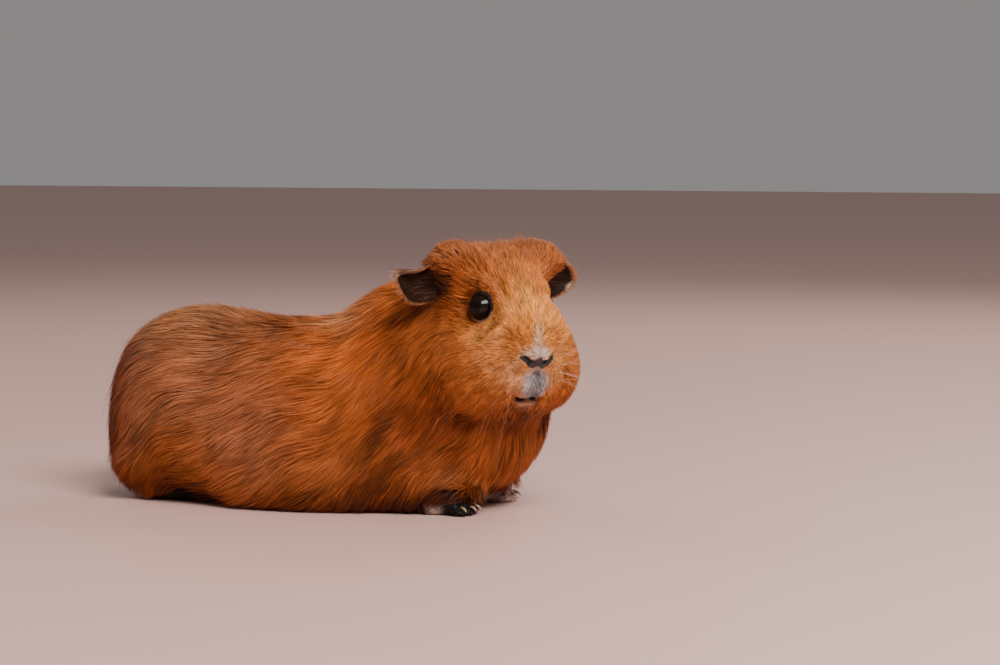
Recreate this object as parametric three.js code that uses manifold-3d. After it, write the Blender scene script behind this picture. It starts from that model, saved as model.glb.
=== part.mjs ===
// A young smooth-coated guinea pig, life size, crouching with its head raised and turned to its right.
// Millimetres, +Z up, the body along X with the rump at -X, the floor at Z = 0. The solids reach to the
// tips of the coat. Each named part is a solid of its own, parted from its neighbours by a thin cut.
import * as THREE from "three";
import { mergeVertices } from "three/addons/utils/BufferGeometryUtils.js";
import Module from "manifold-3d";

const wasm = await Module();
wasm.setup();

// ---------------------------------------------------------------- driving sizes
const CUT = 0.3; // width of the cut between two parts
const RUMP_HEIGHT = 79; // top of the coat over the hips
const LOIN_HEIGHT = 74; // top of the coat at the hollow of the back
const RUMP_REACH = 103; // from the origin back to the end of the rump
const BREAST_REACH = 87.5; // from the origin forward to the front of the breast
const BELLY_HALF_WIDTH = 45;
const SHOULDER_HALF_WIDTH = 36;
const HEAD_AT = [79, -15.5, 81.5]; // the middle of the head, level with the eyes
const HEAD_YAW = -34; // degrees, negative to the animal's right
const CROWN_RISE = 26.6; // top of the coat above the eyes
const SKIRT_LIFT = 6.2; // from the floor to the edge of the coat at the rump
const EYE_RADIUS = 5.6;
const EYE_APART = 12.6; // from the middle of the head to the middle of an eye
const EYE_FORWARD = 1.6;
const EAR_THICK = 1;
const CREASE = 0.8; // rounding of the coat where one of its surfaces cuts another
const FOREFOOT = {
  name: "forefoot",
  at: [55, 20.5],
  half: [9.5, 6],
  height: 8.4,
  toes: 4,
  toeReach: 7,
  toeSpread: 12,
  yaw: 0,
};
const HINDFOOT = {
  name: "hindfoot",
  at: [-64, 24],
  half: [17, 6.6],
  height: SKIRT_LIFT - CUT,
  toes: 3,
  toeReach: 9,
  toeSpread: 10,
  yaw: 4,
};
const FORELEG = { name: "foreleg", at: [43, 36, 16.2], radii: [23, 18, 25], foot: FOREFOOT };
const HINDLEG = { name: "hindleg", at: [-62, 40, 24], radii: [34, 20, 31], foot: HINDFOOT };
const TOE = { halfWidth: 1.75, halfHeight: 2.1, middle: 1.7, shorter: 1.1 };
const CLAW = { length: 4.2, radius: 0.9, droop: 1.2, set: 1.2, rise: 0.5, pitch: 12 };

// The left ear in the head's own frame: where it grows from the head, and its free edge. It stands out
// sideways, dips halfway along its upper edge and droops at the tip. The right ear is its mirror image.
const EAR = {
  from: [-7, 17, 18],
  to: [-16, 21.5, 2],
  edge: [[-10, 27, 17.5], [-13.5, 32, 13.8], [-17.5, 40.5, 13.2], [-16, 39.5, 6], [-17.5, 33, 1]],
  cup: 1.7,
};

// Cell sizes of the faceted surfaces: the smaller the part, the finer.
const TRUNK_CELL = 9.4;
const NECK_CELL = 6.7;
const HEAD_CELL = 4.2;
const FOOT_CELL = 2.68;

const radians = THREE.MathUtils.degToRad;

// ---------------------------------------------------------------- frames and fields
// A place and a turn: roll about X, then pitch about Y, then yaw about Z.
function frameAt([x, y, z], { roll = 0, pitch = 0, yaw = 0 } = {}) {
  const turn = new THREE.Euler(radians(roll), radians(pitch), radians(yaw), "ZYX");
  return new THREE.Matrix4()
    .makeRotationFromEuler(turn)
    .setPosition(x, y, z);
}

// The distance to a rounded mass, near enough for blending, as a function of a point. A power of 2 is an
// ellipsoid, and a higher one is fuller towards its corners.
function mass(at, [a, b, c], { power = 2, ...turn } = {}) {
  const inverse = frameAt(at, turn).invert();
  const q = new THREE.Vector3();
  return (p) => {
    q.copy(p).applyMatrix4(inverse);
    const parts = [[q.x, a], [q.y, b], [q.z, c]];
    const near = parts.reduce((sum, [d, r]) => sum + Math.abs(d / r) ** power, 0) ** (1 / power);
    const slope = Math.hypot(...parts.map(([d, r]) => Math.abs(d) ** (power - 1) / r ** power));
    return slope < 1e-9 ? -Math.min(a, b, c) : ((near - 1) * near ** (power - 1)) / slope;
  };
}

// The same mass on both sides of the middle plane.
function bothSides([x, y, z], radii, { roll = 0, pitch = 0, yaw = 0, power = 2 } = {}) {
  return [
    mass([x, y, z], radii, { roll, pitch, yaw, power }),
    mass([x, -y, z], radii, { roll: -roll, pitch, yaw: -yaw, power }),
  ];
}

// Several masses flowing into one another over a distance of about `soft`.
function blend(soft, fields) {
  return (p) => {
    let least = Infinity;
    const all = fields.map((field) => {
      const d = field(p);
      least = Math.min(least, d);
      return d;
    });
    let sum = 0;
    for (const d of all) sum += Math.exp((least - d) / soft);
    return least - soft * Math.log(sum);
  };
}

// The greater of two distances, rounded where they meet, which cuts one shape by another.
const softMax = (a, b, soft) => Math.max(a, b) + soft * Math.log1p(Math.exp(-Math.abs(a - b) / soft));

// A field that was made in a frame of its own, seen from the body's frame.
function placed(frame, field) {
  const inverse = frame.clone().invert();
  const q = new THREE.Vector3();
  return (p) => field(q.copy(p).applyMatrix4(inverse));
}

// ---------------------------------------------------------------- the masses of the body
const trunkMasses = blend(4, [
  mass([43 - RUMP_REACH, 0, RUMP_HEIGHT - 40], [41, 36, 39], { power: 2.2 }), // hips and rump
  mass([-14, 0, LOIN_HEIGHT - 46], [52, BELLY_HALF_WIDTH - 5, 46], { power: 2.3 }), // belly and loins
  mass([24, 0, LOIN_HEIGHT - 44], [38, SHOULDER_HALF_WIDTH - 3, 46]), // ribs and shoulders
  mass([BREAST_REACH - 27, 2, 36], [26, 27, 29]), // breast
  ...bothSides([-62, 19, 22], [34, 20, 25], { yaw: 8, power: 2.3 }), // haunches
  ...bothSides([-16, BELLY_HALF_WIDTH - 20, 6], [48, 19.5, 26]), // folds of the flank
  ...bothSides([35, 17, 24], [23, 17, 26], { yaw: -8 }), // upper arms
  ...bothSides([49, 20, 8], [13, 8, 9]), // wrists
]);

const neckMasses = blend(4, [
  mass([28, 1, 62], [27, 27, 27], { pitch: -24 }), // nape
  mass([50, -3, 70], [24, 23, 26], { yaw: -18, pitch: -20 }), // poll
  mass([59, -4, 47], [25, 30, 26]), // throat
]);

const headFrame = frameAt(HEAD_AT, { yaw: HEAD_YAW });
const headMasses = placed(
  headFrame,
  blend(2.4, [
    mass([-14, 0, CROWN_RISE - 21], [21, 20, 18.5]), // brain case
    ...bothSides([-15, 16.5, CROWN_RISE - 15.5], [11, 9.5, 13]), // swell of hair round each ear
    ...bothSides([-6, 17.5, CROWN_RISE - 11.5], [8, 8.5, 9]), // tuft before each ear
    ...bothSides([4, 9.5, 5], [8, 6, 7]), // brow
    mass([5, 0, -6], [17, 13.5, 13], { pitch: 32 }), // bridge of the nose
    mass([14, 0, -20], [9, 8.5, 9]), // nose
    mass([12, 0, -27], [8.5, 8, 8.5]), // upper lip
    ...bothSides([5, 14.6, -12.6], [10, 9.8, 9.5]), // below each eye
    ...bothSides([8, 13.5, -24], [12, 12.5, 13.5]), // whisker pads
    ...bothSides([-8, 15.5, -26], [16, 14.5, 18.5]), // cheeks
    mass([7, 0, -37], [9, 8, 6]), // chin
    mass([-6, 0, -34], [17, 21, 12.5]), // jowl
  ]),
);

// The shallow hollow round each eye.
const orbits = placed(headFrame, blend(1, bothSides([5, EYE_APART + 8.2, 0.5], [9.5, 6, 9.5], { yaw: -16 })));

const bare = blend(3.5, [trunkMasses, neckMasses, headMasses]);

// The hind feet stand under the rump, so the coat hangs clear of the floor there.
// Elsewhere it is modelled this far below the floor, and cut flat at it.
const SINK = 3;
const skirt = (p) => (SKIRT_LIFT + SINK) * THREE.MathUtils.smoothstep(-p.x, 16, 52) - SINK - p.z;
const flesh = (p) => softMax(softMax(bare(p), -orbits(p), CREASE), skirt(p), CREASE);

// ---------------------------------------------------------------- solids
const solidOf = (geometry) => {
  const shape = geometry.clone();
  shape.deleteAttribute("normal");
  shape.deleteAttribute("uv");
  const merged = mergeVertices(shape, 1e-4);
  return new wasm.Manifold(
    new wasm.Mesh({
      numProp: 3,
      vertProperties: merged.attributes.position.array,
      triVerts: new Uint32Array(merged.index.array),
    }),
  );
};

function geometryOf(solid) {
  const { numProp, vertProperties, triVerts } = solid.getMesh();
  const places = new Float32Array((vertProperties.length / numProp) * 3);
  for (let i = 0; i * 3 < places.length; i++)
    places.set(vertProperties.subarray(i * numProp, i * numProp + 3), i * 3);
  const geometry = new THREE.BufferGeometry()
    .setAttribute("position", new THREE.BufferAttribute(places, 3))
    .setIndex(new THREE.BufferAttribute(triVerts, 1));
  geometry.computeVertexNormals();
  return geometry;
}

// The surface where a field is zero, inside a box, as a closed geometry of even facets: one corner for each
// cell that the surface crosses, and one quad for each grid edge that it crosses.
function surfaceOf(field, { min, max }, cell) {
  const count = ["x", "y", "z"].map((axis) => Math.ceil((max[axis] - min[axis]) / cell) + 2);
  const [nx, ny, nz] = count;
  const index = (i, j, k) => (k * ny + j) * nx + i;
  const p = new THREE.Vector3();
  const place = (i, j, k) => p.set(i, j, k).multiplyScalar(cell).add(min);
  const values = new Float64Array(nx * ny * nz);
  for (let k = 0; k < nz; k++)
    for (let j = 0; j < ny; j++)
      for (let i = 0; i < nx; i++) {
        const rim = i === 0 || j === 0 || k === 0 || i === nx - 1 || j === ny - 1 || k === nz - 1;
        const value = field(place(i, j, k));
        values[index(i, j, k)] = rim ? Math.max(value, cell / 2) : value;
      }

  const corners = [];
  const cornerOf = new Int32Array(nx * ny * nz).fill(-1);
  for (let k = 0; k < nz - 1; k++)
    for (let j = 0; j < ny - 1; j++)
      for (let i = 0; i < nx - 1; i++) {
        const mean = new THREE.Vector3();
        let crossed = 0;
        for (let axis = 0; axis < 3; axis++)
          for (let side = 0; side < 4; side++) {
            const from = [i, j, k];
            from[(axis + 1) % 3] += side & 1;
            from[(axis + 2) % 3] += side >> 1;
            const to = [...from];
            to[axis] += 1;
            const a = values[index(...from)];
            const b = values[index(...to)];
            if (a < 0 === b < 0) continue;
            from[axis] += a / (a - b);
            mean.add(place(...from));
            crossed += 1;
          }
        if (!crossed) continue;
        cornerOf[index(i, j, k)] = corners.length / 3;
        corners.push(...ontoSurface(field, mean.divideScalar(crossed), cell).toArray());
      }

  const faces = [];
  const corner = (n) => new THREE.Vector3().fromArray(corners, n * 3);
  for (let k = 0; k < nz - 1; k++)
    for (let j = 0; j < ny - 1; j++)
      for (let i = 0; i < nx - 1; i++)
        for (let axis = 0; axis < 3; axis++) {
          const here = [i, j, k];
          const next = [...here];
          next[axis] += 1;
          const inside = values[index(...here)] < 0;
          if (inside === values[index(...next)] < 0) continue;
          const quad = [[0, 0], [1, 0], [1, 1], [0, 1]].map(([u, v]) => {
            const cellAt = [...here];
            cellAt[(axis + 1) % 3] -= u;
            cellAt[(axis + 2) % 3] -= v;
            return cornerOf[index(...cellAt)];
          });
          if (!inside) quad.reverse();
          const [a, b, c, d] = quad;
          const straight = corner(a).distanceTo(corner(c)) < corner(b).distanceTo(corner(d));
          faces.push(...(straight ? [a, b, c, a, c, d] : [a, b, d, b, c, d]));
        }
  return new THREE.BufferGeometry()
    .setAttribute("position", new THREE.Float32BufferAttribute(corners, 3))
    .setIndex(faces);
}

// Slides a point onto the zero of a field, by at most half a cell.
function ontoSurface(field, p, cell) {
  const step = 0.05;
  const start = p.clone();
  const slope = new THREE.Vector3();
  const probe = new THREE.Vector3();
  for (let turn = 0; turn < 3; turn++) {
    const here = field(p);
    for (const axis of ["x", "y", "z"]) {
      probe.copy(p);
      probe[axis] += step;
      slope[axis] = (field(probe) - here) / step;
    }
    p.addScaledVector(slope, -here / Math.max(slope.lengthSq(), 0.25));
  }
  return p.sub(start).clampLength(0, cell / 2).add(start);
}

const boxAround = ([x0, y0, z0], [x1, y1, z1]) =>
  new THREE.Box3(new THREE.Vector3(x0, y0, z0), new THREE.Vector3(x1, y1, z1));
const modelled = (field, box, cell) => solidOf(surfaceOf(field, box, cell));
const grown = (field, by) => (p) => field(p) - by;

// A block in a frame of its own, used only to cut. `more` widens it on every side.
function block(frame, [x0, y0, z0], [x1, y1, z1], more = 0) {
  const geometry = new THREE.BoxGeometry(x1 - x0 + 2 * more, y1 - y0 + 2 * more, z1 - z0 + 2 * more);
  geometry.translate((x0 + x1) / 2, (y0 + y1) / 2, (z0 + z1) / 2);
  return solidOf(geometry.applyMatrix4(frame));
}
const ball = (frame, [x, y, z], [a, b, c], sides = 12) =>
  solidOf(
    new THREE.SphereGeometry(1, sides, (sides * 3) / 4)
      .scale(a, b, c)
      .translate(x, y, z)
      .applyMatrix4(frame),
  );
const bodyFrame = new THREE.Matrix4();
const floor = block(bodyFrame, [-200, -200, -60], [200, 200, 0]);

// ---------------------------------------------------------------- assembly
const guineaPig = new THREE.Group();
const finish = {
  coat: { color: 0x9a4a17, roughness: 0.75 },
  ear: { color: 0x3a1d14, roughness: 0.8 },
  eye: { color: 0x080607, roughness: 0.1 },
  paw: { color: 0x5a4036, roughness: 0.8 },
  claw: { color: 0xb9a78f, roughness: 0.45 },
};
function add(name, kind, solid) {
  const mesh = new THREE.Mesh(
    geometryOf(solid),
    new THREE.MeshStandardMaterial({ ...finish[kind], metalness: 0 }),
  );
  mesh.name = name;
  guineaPig.add(mesh);
}
const sides = [["left", 1], ["right", -1]];
const bodyBox = boxAround([-116, -60, -6], [112, 60, 116]);
const headBox = boxAround([34, -74, 24], [128, 44, 116]);

// ---------------------------------------------------------------- feet and claws
// A foot with its toes fanned out in front and its claws, standing on the floor. Gives back the room that
// it takes up, so that the coat round it can be cut clear of it.
function foot(name, { at: [x, y], half: [long, wide], height, toes, toeReach, toeSpread, yaw }, sign) {
  const frame = frameAt([x, sign * y, 0], { yaw: sign * yaw });
  const sole = placed(frame, mass([0, 0, height * 0.42], [long, wide, height * 0.58]));
  const fan = Array.from({ length: toes }, (_, i) => {
    const off = i - (toes - 1) / 2;
    const root = frameAt([long * 0.35, off * wide * 0.42, TOE.middle], { yaw: off * toeSpread });
    return {
      root: frame.clone().multiply(root),
      length: long * 0.65 - TOE.halfWidth + toeReach - TOE.shorter * off ** 2,
    };
  });
  const toeMasses = fan.map(({ root, length }) =>
    placed(root, mass([length / 2, 0, 0], [length / 2, TOE.halfWidth, TOE.halfHeight])),
  );
  const shape = blend(0.7, [sole, ...toeMasses]);
  const span = long + toeReach + 2 * wide;
  const reachBox = boxAround([x - span, sign * y - span, -4], [x + span, sign * y + span, height + 6]);
  let solid = modelled(shape, reachBox, FOOT_CELL).subtract(floor);
  let room = modelled(grown(shape, 3 * CUT), reachBox, FOOT_CELL);
  fan.forEach(({ root, length }, i) => {
    const set = frameAt([length - CLAW.set, 0, CLAW.rise], { pitch: CLAW.pitch });
    const clawFrame = root.clone().multiply(set);
    solid = solid.subtract(claw(clawFrame, CUT));
    room = room.add(claw(clawFrame, 2.5 * CUT));
    add(`claw_${name}_${i + 1}`, "claw", claw(clawFrame, 0));
  });
  add(name, "paw", solid);
  return room;
}

// A blunt curved claw along +X. `more` widens it on every side.
function claw(frame, more) {
  const geometry = new THREE.ConeGeometry(CLAW.radius + more, CLAW.length + 2 * more, 6, 2);
  geometry.rotateZ(-Math.PI / 2).translate(CLAW.length / 2, 0, 0);
  const places = geometry.attributes.position;
  for (let i = 0; i < places.count; i++) {
    const along = Math.max(places.getX(i), 0) / CLAW.length;
    places.setZ(i, places.getZ(i) - CLAW.droop * along ** 2);
  }
  return solidOf(geometry.applyMatrix4(frame));
}

// ---------------------------------------------------------------- ears
// A thin petal between the line where it grows from the head and its free edge.
function ear(sign, { from, to, edge, cup }) {
  const place = ([x, y, z]) => new THREE.Vector3(x, sign * y, z).applyMatrix4(headFrame);
  const root = new THREE.LineCurve3(place(from), place(to));
  const rim = new THREE.CatmullRomCurve3([from, ...edge, to].map(place), false, "centripetal");
  const outward = place([0, 1, 0]).sub(place([0, 0, 0]));
  const across = 8;
  const out = 4;
  const inset = 0.02; // the two ends of the rim stop this far short of the root line's ends
  const middleOf = (u, v) => {
    const near = root.getPoint(u);
    return near.lerp(rim.getPointAt(u), v).addScaledVector(outward, cup * Math.sin(Math.PI * v));
  };
  const corners = [];
  for (const face of [1, -1])
    for (let i = 0; i <= across; i++)
      for (let j = 0; j <= out; j++) {
        const u = inset + ((1 - 2 * inset) * i) / across;
        const v = j / out;
        const here = middleOf(u, v);
        const slant = middleOf(u + 0.01, v).sub(here).cross(middleOf(u, v + 0.01).sub(here)).normalize();
        corners.push(...here.addScaledVector(slant, (face * EAR_THICK) / 2).toArray());
      }
  const row = out + 1;
  const sheet = row * (across + 1);
  const faces = [];
  const quad = (a, b, c, d) => faces.push(a, b, c, a, c, d);
  for (let i = 0; i < across; i++)
    for (let j = 0; j < out; j++) {
      const a = i * row + j;
      quad(a, a + row, a + row + 1, a + 1);
      quad(sheet + a, sheet + a + 1, sheet + a + row + 1, sheet + a + row);
    }
  for (let i = 0; i < across; i++) {
    const a = i * row;
    quad(a, sheet + a, sheet + a + row, a + row);
    quad(a + out, a + out + row, sheet + a + out + row, sheet + a + out);
  }
  for (let j = 0; j < out; j++) {
    const b = across * row + j;
    quad(j, j + 1, sheet + j + 1, sheet + j);
    quad(b, sheet + b, sheet + b + 1, b + 1);
  }
  return solidOf(
    new THREE.BufferGeometry()
      .setAttribute("position", new THREE.Float32BufferAttribute(corners, 3))
      .setIndex(faces),
  );
}

// ---------------------------------------------------------------- head, neck and trunk
// The head is all that lies in front of one slanting plane, behind the ears and the jaw. The neck is all
// that is left above another, from the withers down to the throat.
const headCutFrame = headFrame.clone().multiply(frameAt([-9, 0, -12], { pitch: -28 }));
const headBlock = [[0, -90, -90], [90, 90, 90]];
const neckFrame = frameAt([46, 0, 58], { pitch: 33 });
const neckBlock = [[-90, -90, 0], [90, 90, 90]];
const headCut = block(headCutFrame, ...headBlock, CUT);
const neckCut = block(neckFrame, ...neckBlock, CUT);

let head = modelled(flesh, headBox, HEAD_CELL).intersect(block(headCutFrame, ...headBlock));
for (const [side, sign] of sides) {
  const at = [EYE_FORWARD, sign * EYE_APART, 0];
  const [eyeball, socket] = [EYE_RADIUS, EYE_RADIUS + CUT].map((r) => ball(headFrame, at, [r, r, r]));
  head = head.subtract(socket);
  add("eye_" + side, "eye", eyeball);
}
add("head", "coat", head);
const clearOfHead = modelled(grown(flesh, CUT), headBox, HEAD_CELL);
const clearOfNeck = modelled(grown(flesh, 1.5 * CUT), bodyBox, NECK_CELL);
for (const [side, sign] of sides)
  add("ear_" + side, "ear", ear(sign, EAR).subtract(clearOfHead).subtract(clearOfNeck));

const neck = modelled(flesh, bodyBox, NECK_CELL).intersect(block(neckFrame, ...neckBlock));
add("neck", "coat", neck.subtract(headCut));

// The legs show only as a swell of the coat: each is parted from the trunk by a curved cut.
const coat = modelled(flesh, bodyBox, TRUNK_CELL).subtract(neckCut).subtract(headCut).subtract(floor);
let trunk = coat;
for (const [side, sign] of sides)
  for (const limb of [FORELEG, HINDLEG]) {
    const [x, y, z] = limb.at;
    const inside = ball(bodyFrame, [x, sign * y, z], limb.radii);
    const cut = ball(bodyFrame, [x, sign * y, z], limb.radii.map((radius) => radius + CUT));
    const room = foot(`${limb.foot.name}_${side}`, limb.foot, sign);
    add(`${limb.name}_${side}`, "coat", coat.intersect(inside).subtract(room));
    trunk = trunk.subtract(cut).subtract(room);
  }
add("trunk", "coat", trunk);

export default guineaPig;
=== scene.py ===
import math
import bmesh
import bpy
import numpy as np
import openvdb
from mathutils.kdtree import KDTree
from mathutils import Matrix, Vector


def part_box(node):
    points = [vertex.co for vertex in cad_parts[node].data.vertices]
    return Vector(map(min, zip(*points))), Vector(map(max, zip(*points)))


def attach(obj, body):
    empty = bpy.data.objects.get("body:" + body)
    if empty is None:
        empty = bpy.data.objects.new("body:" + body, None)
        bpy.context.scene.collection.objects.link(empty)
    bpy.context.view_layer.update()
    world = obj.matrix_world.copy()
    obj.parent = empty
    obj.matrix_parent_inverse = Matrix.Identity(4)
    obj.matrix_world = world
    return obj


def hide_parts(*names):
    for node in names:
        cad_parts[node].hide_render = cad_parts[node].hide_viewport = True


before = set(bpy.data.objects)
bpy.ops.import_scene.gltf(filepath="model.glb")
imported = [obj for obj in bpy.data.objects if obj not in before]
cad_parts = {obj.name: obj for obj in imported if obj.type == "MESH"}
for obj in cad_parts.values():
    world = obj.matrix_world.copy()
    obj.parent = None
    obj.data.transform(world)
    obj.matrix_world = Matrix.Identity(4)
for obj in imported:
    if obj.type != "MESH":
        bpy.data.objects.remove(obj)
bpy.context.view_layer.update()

# ================================================================ the form of the body
# The animal's flesh has no seams, so the solids of head, neck, trunk, legs and feet are joined into one
# field of distance, in millimetres, and rounded off. Skin and coat both follow it: the skin is the surface
# where it is nought, and the hairs lie along it.
limbs = ("foreleg", "hindleg", "forefoot", "hindfoot")
flesh = ["head", "neck", "trunk"]
flesh += [f"{limb}_{side}" for limb in limbs for side in ("left", "right")]
cell = 1.1
closing = 0.4

corners, facets = [], []
for name in flesh:
    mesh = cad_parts[name].data
    mesh.calc_loop_triangles()
    co = np.empty(len(mesh.vertices) * 3, np.float32)
    mesh.vertices.foreach_get("co", co)
    tri = np.empty(len(mesh.loop_triangles) * 3, np.int32)
    mesh.loop_triangles.foreach_get("vertices", tri)
    facets.append(tri.reshape(-1, 3) + sum(map(len, corners)))
    corners.append(co.reshape(-1, 3) * 1000)
corners = np.concatenate(corners).astype(np.float32)
facets = np.concatenate(facets).astype(np.uint32)
grid_step = openvdb.createLinearTransform(voxelSize=cell)
parted = openvdb.FloatGrid.createLevelSetFromPolygons(
    corners, triangles=facets, transform=grid_step, exBandWidth=4, inBandWidth=4
)
joined_points, joined_quads = parted.convertToQuads(closing)
joined = openvdb.FloatGrid.createLevelSetFromPolygons(
    joined_points, quads=joined_quads, transform=grid_step, exBandWidth=9, inBandWidth=12
)
first_cell = np.floor(corners.min(0) / cell).astype(int) - 9
grid_origin = first_cell * cell
outline = np.empty(np.ceil(corners.max(0) / cell).astype(int) + 9 - first_cell, np.float32)
joined.copyToArray(outline, ijk=tuple(int(i) for i in first_cell))
outline += closing


def rounded(field, turns):
    for _ in range(turns):
        for axis in range(3):
            field = 0.5 * field + 0.25 * (np.roll(field, 1, axis) + np.roll(field, -1, axis))
    return field


def sampled(field, points):
    at = (points - grid_origin) / cell
    low = np.clip(np.floor(at).astype(int), 0, np.array(field.shape[:3]) - 2)
    share = np.clip(at - low, 0, 1)
    total = 0
    for corner in np.ndindex(2, 2, 2):
        weight = np.prod(np.where(corner, share, 1 - share), axis=1)
        value = field[tuple((low + corner).T)]
        total = total + (weight * value if value.ndim == 1 else weight[:, None] * value)
    return total


def smooth(low, high, x):
    t = np.clip((x - low) / (high - low), 0, 1)
    return t * t * (3 - 2 * t)


grid_points = np.stack(np.meshgrid(*[np.arange(n) for n in outline.shape], indexing="ij"), -1)
grid_points = (grid_points.reshape(-1, 3) * cell + grid_origin).astype(np.float32)

# The head has a frame of its own: X to the front, Y to its left, Z up, from just behind the middle of the
# two eyes. Places in it are called q, or own where the left side is mirrored onto the right. Places set out
# from the middle of the muzzle are called m.
def box_middle(name):
    low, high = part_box(name)
    return 500 * np.array(low + high)


eye_centres = {side: box_middle("eye_" + side) for side in ("left", "right")}
head_left = eye_centres["left"] - eye_centres["right"]
head_left /= np.linalg.norm(head_left)
head_front = np.cross(head_left, (0, 0, 1))
head_axes = np.stack([head_front, head_left, (0, 0, 1)])
head_middle = (eye_centres["left"] + eye_centres["right"]) / 2 - 1.6 * head_front
nose_tip = np.array([22.5, 0, -19])


def in_head(points):
    return (points - head_middle) @ head_axes.T


def from_head(points):
    return np.asarray(points, float) @ head_axes + head_middle


def at_muzzle(q):
    """The nose and mouth lie a little to the right of the head's middle, and the mouth more so."""
    return q + np.stack([0 * q[:, 0], 1.2 + 0.12 * (-18 - q[:, 2]), 0 * q[:, 0]], 1)


def head_share(points):
    slant = (in_head(points) + (9, 0, 12)) @ (0.88, 0, 0.47)
    return smooth(-12, 10, slant)


def foot_share(points):
    nearest = np.full(len(points), 99.0)
    for foot in ("forefoot_left", "forefoot_right", "hindfoot_left", "hindfoot_right"):
        low, high = (1000 * np.array(corner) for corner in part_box(foot))
        if foot.startswith("fore"):
            low[0] += 4
        away = np.maximum(np.maximum(low - points, points - high), 0)
        nearest = np.minimum(nearest, np.linalg.norm(away, axis=1))
    return 1 - smooth(0.2, 3.5, nearest)


# How deep the coat lies over the skin: half a millimetre at the nose, five on the trunk.
def coat_depth(points):
    from_nose = np.linalg.norm(in_head(points) - nose_tip, axis=1)
    on_head = 0.4 + 0.055 * np.maximum(from_nose - 6, 0)
    share = head_share(points)
    depth = share * on_head + (1 - share) * 5.2
    return depth + foot_share(points) * (0.3 - depth)


def union(a, b, soft):
    h = np.clip(0.5 + 0.5 * (b - a) / soft, 0, 1)
    return b + (a - b) * h - soft * h * (1 - h)


def without(a, b, soft):
    return -union(-a, b, soft)


def rod(points, start, end, thick, thick_end=None):
    start, end = np.asarray(start, float), np.asarray(end, float)
    along = np.clip((points - start) @ (end - start) / ((end - start) @ (end - start)), 0, 1)
    away = np.linalg.norm(points - start - along[:, None] * (end - start), axis=1)
    return away - (thick + along * ((thick if thick_end is None else thick_end) - thick))


def lump(points, centre, radii):
    scaled = np.linalg.norm((points - np.asarray(centre)) / radii, axis=1)
    return (scaled - 1) * min(radii)


eye_ball = 5.6
eye_tilt = math.radians(27)
lid_open = math.radians(60.5)


def eye_axis(side):
    axis = np.array([math.sin(eye_tilt), side * math.cos(eye_tilt), 0.08])
    return axis / np.linalg.norm(axis)


def eye_parts(q, side):
    """Each point's place from an eye's centre, and how far along its axis and out from it that lies."""
    centre = np.array([1.6, side * 12.6, 0])
    axis = eye_axis(side)
    away = q - centre
    along = away @ axis
    out = np.linalg.norm(away - along[:, None] * axis, axis=1)
    return away, along, out


def eye_hollow(q, side):
    """Below nought over the shallow hollow of the face which an eye stands in."""
    _, along, out = eye_parts(q, side)
    brow = 0.3 * np.maximum(q[:, 2] - 3, 0) ** 2
    return 2.2 + 0.12 * np.maximum(out - 5.5, 0) ** 2 + brow - along


def with_muzzle(distance, q):
    """The distance to the skin with the nose, the upper lip, the whisker pads and the chin added."""
    m = at_muzzle(q)
    distance = union(distance, lump(m, (21.2, 0, -18.4), (2.6, 4.2, 3.0)), 1.2)
    distance = union(distance, lump(m, (15.9, 0, -36.6), (2.4, 4.4, 1.8)), 1.5)
    for side in (1, -1):
        own = m * (1, side, 1)
        distance = union(distance, lump(own, (19.7, 2.4, -27.4), (2.8, 4.0, 5.4)), 1.6)
        distance = union(distance, lump(own, (20.9, 5.6, -20.6), (2.2, 3.0, 2.4)), 0.8)
    return distance


def spot(points, centre, radii):
    return np.exp(-(((points - np.asarray(centre)) / radii) ** 2).sum(1))


# The crown has a shallow dip down its middle and falls away towards the ears.
grid_head = in_head(grid_points)
crown = 1.0 * spot(grid_head, (-8, -2.4, 25), (14, 4.5, 8))
crown -= 0.5 * spot(grid_head, (-6, -16.5, 26), (9, 7, 6))
crown += -0.9 * spot(grid_head, (-6, 10, 26), (9, 6, 6)) - 1.0 * spot(grid_head, (-6, 19, 21), (8, 5, 6))
outline += crown.reshape(outline.shape).astype(np.float32)
smooth_outline = rounded(outline, 5).reshape(-1)
feet = foot_share(grid_points)
smooth_outline += feet * (outline.reshape(-1) - smooth_outline)
skin_field = smooth_outline + coat_depth(grid_points)
for side in (1, -1):
    own = grid_head * (1, side, 1)
    for centre, radii, soft in (
        ((1.0, 10.0, -0.5), (12.5, 4.5, 10.5), 1.5),  # the bone that the eye stands in
        ((12.5, 8.7, -6), (6.5, 7.2, 6.5), 3),  # the bridge of the nose
        ((10.5, 13.4, -12), (8, 7.8, 8), 3),  # the cheek before the eye
        ((0, 19, -31.5), (9, 6.5, 9), 4),  # the jowl
        ((-11 + side, 22.3 + side, 16.2), (6.5, 8, 4.3), 3.5),  # the root of the ear
    ):
        skin_field = union(skin_field, lump(own, centre, radii), soft)
    own = grid_points * (1, side, 1)
    haunch = lump(own, (-78.5, 15, 13.5), (7, 17, 7))
    forearm = rod(own, (48, 20.5, 4.6), (34, 22, 22), 4.4, 8)
    shank = rod(own, (-74, 24, 3.8), (-64, 23, 24), 3.4, 12)
    for form, soft in ((haunch, 5), (forearm, 2), (shank, 2)):
        skin_field = union(skin_field, form, soft)
skin_field = with_muzzle(skin_field, grid_head)
near_eyes = (grid_head[:, 0] > -12) & (np.abs(grid_head[:, 2]) < 14)
for side in (1, -1):
    hollow = np.where(near_eyes, eye_hollow(grid_head, side), 9)
    skin_field = without(skin_field, hollow, 1.0)
skin_field = rounded(skin_field.reshape(outline.shape), 2).astype(np.float32)
feet = feet.reshape(outline.shape)
skin_field += (feet * (outline + 0.3 - skin_field)).astype(np.float32)
skin_lie = np.stack([skin_field, *np.gradient(skin_field, cell)], -1).astype(np.float32)

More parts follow.
